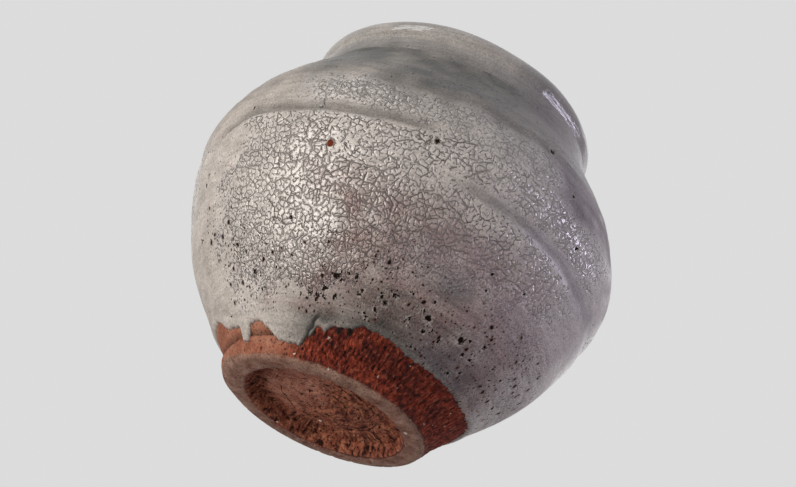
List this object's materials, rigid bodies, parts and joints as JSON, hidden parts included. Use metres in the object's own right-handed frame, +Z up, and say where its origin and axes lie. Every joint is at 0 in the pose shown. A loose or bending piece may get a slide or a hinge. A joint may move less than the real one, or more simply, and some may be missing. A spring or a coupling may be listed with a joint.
{
  "type": "water jar",
  "caption": "Round-bellied stoneware water jar with a turned foot, a rolled lip, a thick crackled grey-white glaze and a drop-in lid with a knob.",
  "frame": {"origin": "on the floor at the middle of the foot ring", "axes": "+Z up along the axis of the jar, -Y towards the front that the picture shows"},
  "size_m": [0.2, 0.2, 0.1819],
  "materials": {
    "foot_clay": "worn smooth, unglazed tan stoneware",
    "red_clay": "rough, unglazed red-brown stoneware with white grit",
    "crackle_glaze": "thick grey-white glaze, crawled and crackled, with pits",
    "smooth_glaze": "grey-white glaze, lightly crazed"
  },
  "bodies": {
    "jar": {"foot_ring": "foot_clay", "base_disc": "red_clay", "lower_wall": "red_clay", "upper_wall": "red_clay", "neck_collar": "red_clay", "rim_lip": "red_clay", "lid_ledge": "red_clay", "outer_glaze": "crackle_glaze", "inner_glaze": "smooth_glaze"},
    "lid": {"lid_disc": "red_clay", "lid_knob": "red_clay", "lid_glaze": "crackle_glaze", "knob_glaze": "smooth_glaze"}
  },
  "joints": [
    {"name": "lid_lift", "type": "slide", "parent": "jar", "child": "lid", "axis": [0, 0, 1], "range_m": [0, 0.08]}
  ]
}
